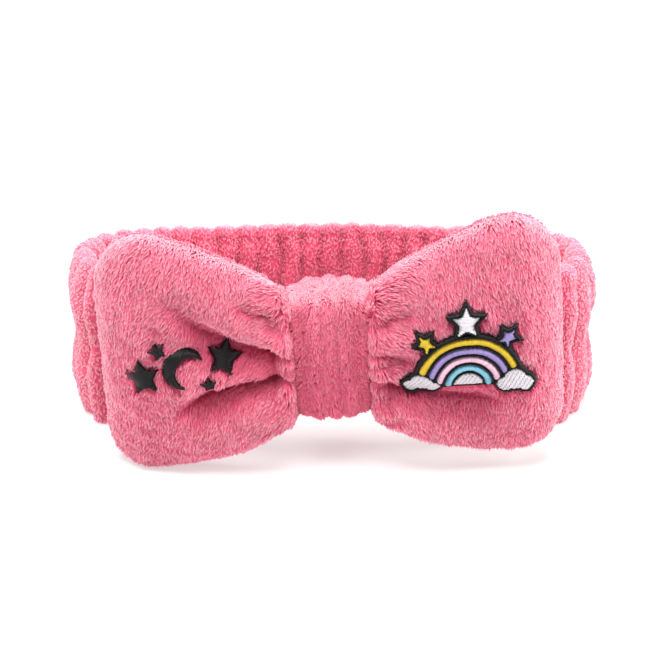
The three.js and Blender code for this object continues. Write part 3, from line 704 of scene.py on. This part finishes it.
def in_star(x, z, cx, cz, radius, turn):
    """Inside a star with five points: in each tenth, a straight edge from a point to a waist."""
    tenth = np.pi / 5
    angle = np.arctan2(z - cz, x - cx) - np.pi / 2 - turn
    angle = np.abs((angle + tenth) % (2 * tenth) - tenth)
    waist = STAR_WAIST * radius
    edge = radius * waist * np.sin(tenth) / (radius * np.sin(angle) + waist * np.sin(tenth - angle))
    return np.hypot(x - cx, z - cz) < edge


def in_moon(x, z, grow=0.0):
    """Inside a disc but outside a smaller one beside it."""
    apart, bite = (share * MOON_RADIUS for share in MOON_BITE)
    bite_x, bite_z = MOON[0] + apart * math.cos(MOON_OPEN), MOON[1] + apart * math.sin(MOON_OPEN)
    return in_disc(x, z, *MOON, MOON_RADIUS + grow) & ~in_disc(x, z, bite_x, bite_z, bite - grow)


def puffs(cx):
    """Middle and radius of each puff of a cloud."""
    for aside, up, size in CLOUD_PUFFS:
        yield cx + aside * CLOUD_RADIUS, RAINBOW[1] + up * CLOUD_RADIUS, size * CLOUD_RADIUS


def in_clouds(x, z, grow=0.0, only=None):
    """Inside the round puffs of the clouds."""
    inside = np.zeros(np.shape(x), bool)
    for name, cx in CLOUDS:
        if only in (None, name):
            for puff_x, puff_z, radius in puffs(cx):
                inside |= in_disc(x, z, puff_x, puff_z, radius + grow)
    return inside


def night_star(radius, towards):
    """Middle of a star in a direction from the moon, a millimetre clear of it."""
    apart, angle = MOON_RADIUS + 1 + radius, math.radians(towards)
    return MOON[0] + apart * math.cos(angle), MOON[1] + apart * math.sin(angle)


def crown_star(lean, radius):
    """Middle of a star on the rainbow's top."""
    apart, angle = RAINBOW_RADIUS + OUTLINE + STAR_SEAT * radius, math.radians(lean)
    return RAINBOW[0] - apart * math.sin(angle), RAINBOW[1] + apart * math.cos(angle)


def stitched(x, z, grow=0.0):
    """Under thread: the moon and its stars, and the rainbow with its clouds, stars and outlines."""
    inside = in_moon(x, z, grow) | in_clouds(x, z, OUTLINE + grow)
    arch = in_disc(x, z, *RAINBOW, RAINBOW_RADIUS + OUTLINE + grow)
    inside |= arch & (z > RAINBOW[1] - OUTLINE - grow)
    for name, radius, towards, turn in NIGHT_STARS:
        size = radius + STAR_MARGIN * grow
        inside |= in_star(x, z, *night_star(radius, towards), size, math.radians(turn))
    for name, lean, radius, colour in CROWN:
        size = radius + STAR_MARGIN * (OUTLINE + grow)
        inside |= in_star(x, z, *crown_star(lean, radius), size, math.radians(lean))
    return inside


# The bow's pile
# Longer than the band's, and brushed: it runs up the back, over the top and down the front, fans out
# beside the wrap, and parts round the thread.

BOW_TIPS = 0.8
BACK_LOCK = (2.8, 1.0)
FRONT_LOCK = (4.6, 0.7)
BESIDE_WRAP = (NECK_END + 8, NECK_END + 30)
UNDER_WRAP = (NECK_END, NECK_END + 8)
STROKE_SWAY_SIZE = 60
THREAD_CLEARANCE = 0.2
THREAD_OVERLAP = 0.3
TRIMMED = 0.4


def bow_nap(root, normal):
    """A stroke square to the bow's length, with shares of outwards and downwards that wander."""
    x, z = from_bow(root)
    near = 1 - ease(np.abs(x), *BESIDE_WRAP)
    held = 1 - ease(np.abs(x), *UNDER_WRAP)
    stroke = np.cross((1.0, 0, 0), normal) * (1 - 0.4 * near)[:, None]
    out = 0.35 + 0.5 * near - held + 0.35 * wander(root, STROKE_SWAY_SIZE, 32)
    down = -0.4 + 0.03 * z * near + 0.2 * wander(root, STROKE_SWAY_SIZE, 31)
    return stroke + np.stack([np.sign(x) * out, 0 * x, down], -1)


def clear_of_thread(root, way, reach):
    """Leaves pile out below the thread, and shortens it where its outer half would lie over thread."""
    covered = np.zeros(len(root), bool)
    for share in (0.5, 0.75, 1.0):
        covered |= stitched(*from_bow(root + way * reach * share), -THREAD_OVERLAP)
    bare = ~stitched(*from_bow(root), THREAD_CLEARANCE)
    return bare, np.where(covered[:, None], TRIMMED, 1) * reach


facing = np.arange(len(bow_quads)) % around >= BACK_SPANS
on_rainbow_wing = np.arange(len(bow_quads)) // around < (ring_count - 1) / 2
for name, chosen, lock_size, density, seed, trim in (
        ("bow_pile_back", ~facing, BACK_LOCK, 1.05, 41, None),
        ("bow_pile_front_stars", facing & ~on_rainbow_wing, FRONT_LOCK, 3.9, 42, clear_of_thread),
        ("bow_pile_front_rainbow", facing & on_rainbow_wing, FRONT_LOCK, 3.9, 43, clear_of_thread)):
    pile(name, bow_points, bow_quads[chosen], bow_nap, bow_tone, BOW_TIPS, *lock_size, density, seed,
         trim)


# The wrap
# A short strip of the same fleece, pulled tight round the bow's neck and the band and sewn to itself
# behind the loop. The pull draws lengthwise wrinkles in it.

WRAP_WIDTH = 30
WRAP_THICKNESS = 5
WRAP_GAP = 0.35
WRAP_INNER_SQUARENESS = 5
WRAP_OUTER_SQUARENESS = 4
WRAP_WRINKLES = 4
WRAP_WRINKLE_DEPTH = 0.66
WRAP_WRINKLE_STRETCH = 0.35
WRAP_SWAY = 0.9
WRAP_SWAY_SIZE = 22
WRAP_SWELL = 0.5
WRAP_SWELL_SIZE = 9
WRAP_FLARE = 0.07
WRAP_EDGE_DROP = 0.5
WRAP_EDGE_POWER = 4
WRAP_RINGS = 150
WRAP_FACE_POINTS = 44
WRAP_BACK_POINTS = 10
WRAP_PILE_ROOM = 1.7
WRAP_TIPS = 0.75
WRAP_LOCK = (3.3, 0.75)
WRAP_EDGE = (9, 15)
# Painted shade towards the wrap's foot
FOOT_SHADE = 0.14

# The middle of what the wrap holds, from the bow's neck, and how far the lining is drawn towards it
HELD_MIDDLE = (0, 6, 0)
LINING_DRAW = (0, 0.06, 0.04)


def wrap_surface(angle, across):
    """A ring between two squared ovals. Cosines wrinkle its face lengthwise, and its edges curl in."""
    neck_share = 2 * NECK_END / LOOP_WIDTH
    sag = LOOP_FRONT * (1 - (1 - neck_share ** LOOP_SQUARENESS) ** (1 / LOOP_SQUARENESS))
    front, back = -NECK_THICKNESS / 2, NECK_TO_LINE + HELD_THICKNESS / 2 + sag
    depth, height = (back - front) / 2 + WRAP_GAP, NECK_HEIGHT / 2 + WRAP_GAP
    y, z = superellipse(angle, WRAP_INNER_SQUARENESS)
    outer_y, outer_z = superellipse(angle, WRAP_OUTER_SQUARENESS)
    y, z = depth * y, height * z
    outer_y, outer_z = (depth + WRAP_THICKNESS) * outer_y, (height + WRAP_THICKNESS) * outer_z
    width = WRAP_WIDTH / 2 * (1 + WRAP_FLARE * z / height)
    spot = np.stack([across * width, WRAP_WRINKLE_STRETCH * z + 0 * across, y + 0 * across], -1)
    sway = WRAP_SWAY * wander(spot, WRAP_SWAY_SIZE, 51)
    wrinkle = WRAP_WRINKLE_DEPTH * np.cos(np.pi * WRAP_WRINKLES * across + sway)
    rise = WRAP_THICKNESS + wrinkle + WRAP_SWELL * wander(spot, WRAP_SWELL_SIZE, 52)
    rise = rise * (1 - WRAP_EDGE_DROP * across ** WRAP_EDGE_POWER)
    rise = (rise - WRAP_PILE_ROOM) / WRAP_THICKNESS
    y, z = y + (outer_y - y) * rise, z + (outer_z - z) * rise
    return on_bow(across * width, (front + back) / 2 + y, z)


def wrap_tone(place, normal):
    """Painted highlight over the wrap's top, and painted shade deepening towards its foot."""
    z = from_bow(place)[1]
    low = 1 - ease(z, -NECK_HEIGHT / 2, NECK_HEIGHT / 2)
    return RIM_HIGHLIGHT * open_and_rim_lit(place, normal) - FOOT_SHADE * low


def wrap_nap(root, normal):
    """The wrap's pile runs round it, down its face, and sideways over its edges."""
    x, z = from_bow(root)
    aside = 1.2 * np.sign(x) * ease(np.abs(x), *WRAP_EDGE) + 0.25 * wander(root, 25, 53)
    return np.cross((1.0, 0, 0), normal) + np.stack([aside, 0 * x, 0 * x], -1)


wrap_angles = np.arange(WRAP_RINGS)[:, None] * 2 * np.pi / WRAP_RINGS
face_points = wrap_surface(wrap_angles, np.linspace(-1, 1, WRAP_FACE_POINTS)[None, :])
sides = face_points[:, [-1, 0]]
inner = np.linspace(0, 1, WRAP_BACK_POINTS)[None, :, None]
under = sides[:, :1] * (1 - inner) + sides[:, 1:] * inner
held_middle = np.array(BOW_PLACE) + HELD_MIDDLE
lining = under + (held_middle - under) * np.array(LINING_DRAW)
wrap_points = np.concatenate([face_points, lining], 1)
wrap_around = wrap_points.shape[1]
wrap_points = wrap_points.reshape(-1, 3)
wrap_quads = ring_quads(WRAP_RINGS, wrap_around, True)
padded_cloth("centre_wrap", wrap_tone, 0.4, wrap_points, wrap_quads)

wrap_face = wrap_quads[np.arange(len(wrap_quads)) % wrap_around < WRAP_FACE_POINTS - 1]
pile("wrap_pile", wrap_points, wrap_face, wrap_nap, wrap_tone, WRAP_TIPS, *WRAP_LOCK, 3.2, 61)


# The embroidery
# Rayon thread, sewn by machine through the fleece: satin stitches side by side across each narrow
# field, rows of short stitches in the wide ones, and a dark satin outline round the coloured fields.
# Real threads lie about 0.4 mm apart. Here they are coarser, so that each one shows.

STITCH_PITCH = 0.62
THREAD_WIDTH = 1.0
THREAD_HALF_DEPTH = 0.32
THREAD_SIDES = 6
THREAD_LIGHTS = 0.05
SATIN_SEGMENTS = 4
OUTLINE_SEGMENTS = 2
SATIN_DIP = 1.3
FILL_DIP = 0.35
DIP_RATE = 9
STEP = 0.05
SHORTEST_STEPS = 10
FILL_STITCH = 3.4
GROUND_STITCH = 6.0
ROW_SHIFTS = (0, 0.37, 0.71)
STITCH_GAP = 0.1
OVERRUN = 0.15
END_SPREAD = 0.1
SATIN_OVERRUN = 0.1
SATIN_SPREAD = 0.06
OUTLINE_PITCH = 0.75 * STITCH_PITCH
OUTLINE_TURN = 0.12
OUTLINE_RANGE = (0.85, 1.2)
MOON_ANGLE = math.radians(55)
GROUND_ANGLE = 0.4
GROUND_BOX = (RAINBOW[0] - 30, RAINBOW[1] - 10, RAINBOW[0] + 30, RAINBOW[1] + 40)
machine = np.random.default_rng(71)

# Rise of each layer of thread off the cloth at its ends, and the crown in the middle of its stitches
MOON_LAYER = (0.7, 0.5)
NIGHT_LAYER = (0.5, 0.5)
ARC_LAYER = (0.9, 0.5)
MIDDLE_LAYER = (1.0, 0.2)
CLOUD_LAYER = (1.0, 0.3)
CROWN_LAYER = (1.0, 0.4)
GROUND_LAYER = (-0.1, 0.3)
LINE_LAYER = (1.0, 0.5)
RIM_LAYER = (1.1, 0.5)

# How far each outline lies outside its field's edge, and the length of its stitches
ARCH_LINE = (0.6, 2.1)
ARC_LINE = (ARC_SPACING / 2, 1.3)
FOOT_LINE = (0.6, 1.9)
STAR_LINE = (0.9, 1.9)
CLOUD_LINE = (0.55, 1.8)


def thread(name, colour):
    """Rayon thread: its filaments are smooth and lie together, so it shines along each stitch."""
    material = new_material(name)
    light = add_node(material, "Attribute", attribute_name="lock")
    varied = add_node(material, "HueSaturation", {
        "Color": linear(colour), "Value": light.outputs["Fac"]})
    shader = add_node(material, "BsdfPrincipled", {
        "Base Color": varied.outputs["Color"], "Roughness": 0.45, "Specular IOR Level": 0.25})
    add_node(material, "OutputMaterial", {"Surface": shader.outputs["BSDF"]})
    return material


threads = {name: thread("rayon_thread_" + name, colour) for name, colour in (
    ("black", "060508"), ("white", "d0cbd0"), ("rose", "deb3c6"), ("blue", "7bb6cb"),
    ("lilac", "917fb6"), ("yellow", "c9aa2b"))}


def stitch_bars(starts, ends, rise, crown, segments, dip=SATIN_DIP):
    """Threads as closed bars with six sides that run from start to end over a wing's front.

    Each bar stands clear of the cloth by its rise, higher by the crown in its middle as a half sine,
    and both of its ends dip, as powers of e that fade away from them.
    """
    count = len(starts)
    t = np.linspace(0, 1, segments + 1)[None, :]
    line = starts[:, None] * (1 - t[..., None]) + ends[:, None] * t[..., None]
    way = unit(ends - starts)
    side = np.stack([-way[:, 1], way[:, 0]], 1)[:, None]
    dips = dip * (np.exp(-t * DIP_RATE) + np.exp(-(1 - t) * DIP_RATE))
    out = rise + crown * np.sin(np.pi * t) - dips
    around = np.arange(THREAD_SIDES)
    corner = around * 2 * np.pi / THREAD_SIDES
    aside = THREAD_WIDTH / 2 * np.cos(corner)
    x = line[..., 0, None] + side[..., 0, None] * aside
    z = line[..., 1, None] + side[..., 1, None] * aside
    front = wing_front(line[..., 0], line[..., 1])[..., None]
    points = on_bow(x, front - out[..., None] - THREAD_HALF_DEPTH * np.sin(corner), z).reshape(-1, 3)
    first = np.arange(segments)[:, None] * THREAD_SIDES
    here, ahead = first + around, first + (around + 1) % THREAD_SIDES
    shell = np.stack([here, ahead, ahead + THREAD_SIDES, here + THREAD_SIDES], -1).reshape(-1, 4)
    near_cap = np.array([(3, 2, 1, 0), (5, 4, 3, 0)])
    far_cap = segments * THREAD_SIDES + np.array([(0, 1, 2, 3), (0, 3, 4, 5)])
    bar = np.concatenate([shell, near_cap, far_cap])
    bar_points = THREAD_SIDES * (segments + 1)
    faces = (np.arange(count)[:, None, None] * bar_points + bar).reshape(-1, 4)
    lights = np.repeat(machine.normal(1, THREAD_LIGHTS, count), bar_points)
    return points, faces, lights


def field(inside, box, angle, rise, crown, longest=None):
    """Rows of thread over the places that a test says are inside, within a box and along an angle.

    Each row is walked in fine steps, and a stitch runs from each place where it enters to where it
    leaves. Rows longer than the longest stitch are broken up, each row at its own places.
    """
    way = np.array((math.cos(angle), math.sin(angle)))
    over = np.array((-way[1], way[0]))
    middle = np.array(((box[0] + box[2]) / 2, (box[1] + box[3]) / 2))
    half = math.hypot(box[2] - box[0], box[3] - box[1]) / 2
    rows = np.arange(-half, half, STITCH_PITCH)
    along = np.arange(-half, half, STEP)
    spots = middle + rows[:, None, None] * over + along[None, :, None] * way
    held = inside(spots[..., 0], spots[..., 1])
    if longest:
        shift = np.array(ROW_SHIFTS)[np.arange(len(rows)) % len(ROW_SHIFTS), None]
        held &= (along[None, :] + longest * shift) % longest > STITCH_GAP
    edges = np.diff(np.pad(held, ((0, 0), (1, 1))).astype(int), axis=1)
    row, enter = np.nonzero(edges == 1)
    leave = np.nonzero(edges == -1)[1]
    long_enough = leave - enter > SHORTEST_STEPS
    row, enter, leave = row[long_enough], enter[long_enough], leave[long_enough]
    foot = middle + rows[row, None] * over
    start = along[enter] - OVERRUN + machine.normal(0, END_SPREAD, len(row))
    end = along[leave - 1] + OVERRUN + machine.normal(0, END_SPREAD, len(row))
    return stitch_bars(foot + start[:, None] * way, foot + end[:, None] * way, rise, crown,
                       SATIN_SEGMENTS, FILL_DIP if longest else SATIN_DIP)


def arc_field(middle, inner, outer, hidden, rise, crown):
    """Satin across an arch: a stitch along each radius, left out where it is hidden."""
    angles = np.arange(0, np.pi, STITCH_PITCH / ((inner + outer) / 2))
    way = np.stack([np.cos(angles), np.sin(angles)], 1)
    start = inner - SATIN_OVERRUN + machine.normal(0, SATIN_SPREAD, len(way))
    end = outer + SATIN_OVERRUN + machine.normal(0, SATIN_SPREAD, len(way))
    starts, ends = middle + start[:, None] * way, middle + end[:, None] * way
    shown = ~hidden(*((starts + ends) / 2).T)
    return stitch_bars(starts[shown], ends[shown], rise, crown, SATIN_SEGMENTS)


def outline(path, length):
    """Short satin stitches across a line, one for each pitch of its length, a little uneven."""
    steps = np.linalg.norm(np.diff(path, axis=0), axis=1)
    along = np.insert(np.cumsum(steps), 0, 0)
    places = np.arange(0, along[-1], OUTLINE_PITCH)
    spots = np.stack([np.interp(places, along, column) for column in path.T], 1)
    ways = [np.interp(places, along, np.gradient(column, along)) for column in path.T]
    x, z = unit(np.stack(ways, 1)).T
    turned = machine.normal(0, OUTLINE_TURN, len(x))
    cos, sin = np.cos(turned), np.sin(turned)
    half = (length / 2 * machine.uniform(*OUTLINE_RANGE, len(x)))[:, None]
    across = half * np.stack([-z * cos - x * sin, x * cos - z * sin], 1)
    return spots - across, spots + across


def circle_path(cx, cz, radius, start=0.0, end=360.0):
    """Points of an arc, between two angles in degrees."""
    angle = np.radians(np.linspace(start, end, 240))
    return np.stack([cx + radius * np.cos(angle), cz + radius * np.sin(angle)], 1)


def star_path(cx, cz, radius, turn):
    """Points of a star's edge, from a point to a waist and on to the next point."""
    k = np.arange(11)
    reach = np.where(k % 2, STAR_WAIST * radius, radius)
    angle = np.pi / 2 + turn + k * np.pi / 5
    corners = np.stack([cx + reach * np.cos(angle), cz + reach * np.sin(angle)], 1)
    place = np.linspace(0, 10, 400)
    return np.stack([np.interp(place, k, column) for column in corners.T], 1)


def outside_clouds(lines, grow, layer):
    """The stitches of some outlines whose middles don't lie in a cloud."""
    starts, ends = (np.concatenate(column) for column in zip(*lines))
    clear = ~in_clouds(*((starts + ends) / 2).T, grow)
    return starts[clear], ends[clear], *layer, OUTLINE_SEGMENTS


def box_round(cx, cz, radius):
    """A square round a middle."""
    return cx - radius, cz - radius, cx + radius, cz + radius


def in_middle(x, z, radius):
    """Inside the half disc under the rainbow's smallest arc."""
    return in_disc(x, z, *RAINBOW, radius) & (z > RAINBOW[1])


def in_ground(x, z):
    """Under any thread of the rainbow's wing."""
    return stitched(x, z) & (x > 0)


def sew(name, colour, *groups):
    """Joins groups of stitches into the piece that stands for a node of the embroidery."""
    points, faces, lights = zip(*groups)
    firsts = np.cumsum([0] + [len(group) for group in points])
    faces = [group + first for group, first in zip(faces, firsts)]
    piece = new_piece(name, np.concatenate(points), np.concatenate(faces),
                      lock=np.concatenate(lights))
    piece.data.materials.append(threads[colour])
    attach(piece, "root")
    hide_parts(name)


sew("moon", "black", field(in_moon, box_round(*MOON, MOON_RADIUS), MOON_ANGLE, *MOON_LAYER))
for name, radius, towards, turn in NIGHT_STARS:
    cx, cz = night_star(radius, towards)
    turn = math.radians(turn)
    inside = partial(in_star, cx=cx, cz=cz, radius=radius, turn=turn)
    sew(name, "black", field(inside, box_round(cx, cz, radius), turn, *NIGHT_LAYER))

# The arcs, from the outermost, and the half disc in their middle
arc_step = ARC_WIDTH + ARC_SPACING
arc_colours = ("yellow", "lilac", "rose", "blue")
hidden = partial(in_clouds, grow=0.9)
for i, colour in enumerate(arc_colours):
    outer = RAINBOW_RADIUS - i * arc_step
    arc = arc_field(np.array(RAINBOW), outer - ARC_WIDTH, outer, hidden, *ARC_LAYER)
    sew("rainbow_" + colour, colour, arc)
middle_radius = RAINBOW_RADIUS - len(arc_colours) * arc_step
inside = partial(in_middle, radius=middle_radius)
sew("rainbow_middle", "white", field(
    inside, box_round(*RAINBOW, middle_radius), math.pi / 2, *MIDDLE_LAYER, FILL_STITCH))
for name, cx in CLOUDS:
    inside = partial(in_clouds, only=name)
    sew(name, "white", field(
        inside, box_round(cx, RAINBOW[1], 2 * CLOUD_RADIUS), math.pi / 2, *CLOUD_LAYER, FILL_STITCH))
for name, lean, radius, colour in CROWN:
    cx, cz = crown_star(lean, radius)
    lean = math.radians(lean)
    inside = partial(in_star, cx=cx, cz=cz, radius=radius, turn=lean)
    sew(name, colour, field(inside, box_round(cx, cz, radius), lean, *CROWN_LAYER))

# The dark ground under the rainbow, and its outlines: over the arch, between the arcs, along the foot
# and round the stars, and then round the clouds
aside, length = ARCH_LINE
lines = [outline(circle_path(*RAINBOW, RAINBOW_RADIUS + aside, -2, 182), length)]
aside, length = ARC_LINE
for i in range(1, len(arc_colours) + 1):
    radius = RAINBOW_RADIUS - i * arc_step + aside
    lines.append(outline(circle_path(*RAINBOW, radius, 0, 180), length))
aside, length = FOOT_LINE
foot = np.linspace(-RAINBOW_RADIUS, RAINBOW_RADIUS, 200)
lines.append(outline(np.stack([RAINBOW[0] + foot, 0 * foot + RAINBOW[1] - aside], 1), length))
aside, length = STAR_LINE
for name, lean, radius, colour in CROWN:
    path = star_path(*crown_star(lean, radius), radius + aside, math.radians(lean))
    lines.append(outline(path, length))
aside, length = CLOUD_LINE
rims = [outline(circle_path(puff_x, puff_z, radius + aside), length)
        for name, cx in CLOUDS for puff_x, puff_z, radius in puffs(cx)]
sew("emblem_backing", "black",
    field(in_ground, GROUND_BOX, GROUND_ANGLE, *GROUND_LAYER, GROUND_STITCH),
    stitch_bars(*outside_clouds(lines, 0.3, LINE_LAYER)),
    stitch_bars(*outside_clouds(rims, 0.35, RIM_LAYER)))


# The place
# White paper that gives off a little light of its own, so that it shows as white as the photograph's
# ground. Even light comes from all round, with a large soft lamp above and a weaker one on each side.

FLOOR_HALF = 3
PAPER_GLOW = 0.5
TENT_STRENGTH = 0.36
LAMPS = [
    ("overhead", (-0.1, -0.3, 1.2), 0.9, 25),
    ("from_the_left", (-1.1, -0.2, 0.5), 0.8, 5.5),
    ("from_the_right", (1.1, -0.2, 0.5), 0.8, 12),
]
LAMP_AIM = (0, 0, 0.05)

mesh = bpy.data.meshes.new("floor")
floor_corners = [(x * FLOOR_HALF, y * FLOOR_HALF, 0) for x, y in ((-1, -1), (1, -1), (1, 1), (-1, 1))]
mesh.from_pydata(floor_corners, [], [(0, 1, 2, 3)])
floor = bpy.data.objects.new("floor", mesh)
bpy.context.collection.objects.link(floor)
paper = new_material("white_paper")
sheet = add_node(paper, "BsdfPrincipled", {
    "Base Color": linear("c0c0c0"), "Roughness": 0.9, "Specular IOR Level": 0.1,
    "Emission Color": linear("ffffff"), "Emission Strength": PAPER_GLOW})
add_node(paper, "OutputMaterial", {"Surface": sheet.outputs["BSDF"]})
floor.data.materials.append(paper)

world = bpy.data.worlds.new("light_tent")
world.use_nodes = True
background = world.node_tree.nodes["Background"]
background.inputs["Color"].default_value = (1, 1, 1, 1)
background.inputs["Strength"].default_value = TENT_STRENGTH
bpy.context.scene.world = world
bpy.context.scene.view_settings.view_transform = "Standard"

for name, place, size, watts in LAMPS:
    lamp = bpy.data.lights.new(name, "AREA")
    lamp.size = size
    lamp.energy = watts
    light = bpy.data.objects.new(name, lamp)
    light.location = place
    light.rotation_euler = (Vector(LAMP_AIM) - Vector(place)).to_track_quat("-Z", "Y").to_euler()
    bpy.context.collection.objects.link(light)

# The camera looks down on the wrap from the front. The wrap's face shows at the photograph's pixel,
# in a picture 650 pixels wide and high
CAMERA_TILT = math.radians(25)
CAMERA_DISTANCE = 0.88
VIEW_WIDTH = 0.273
WRAP_FRONT = Vector((-0.001, -0.0697, 0.0528))
WRAP_PIXEL = (329, 367)
PICTURE = 650
pixel = VIEW_WIDTH / PICTURE
off_x, off_y = ((place - PICTURE / 2) * pixel for place in WRAP_PIXEL)
up = Vector((0, math.sin(CAMERA_TILT), math.cos(CAMERA_TILT)))
back = Vector((0, -math.cos(CAMERA_TILT), math.sin(CAMERA_TILT)))
eye = WRAP_FRONT + CAMERA_DISTANCE * back
aim = WRAP_FRONT + off_y * up - Vector((off_x, 0, 0))
lens = bpy.data.cameras.new("camera")
lens.angle = 2 * math.atan(VIEW_WIDTH / 2 / CAMERA_DISTANCE)
camera = bpy.data.objects.new("camera", lens)
camera.location = eye
camera.rotation_euler = (aim - eye).to_track_quat("-Z", "Y").to_euler()
bpy.context.collection.objects.link(camera)
bpy.context.scene.camera = camera
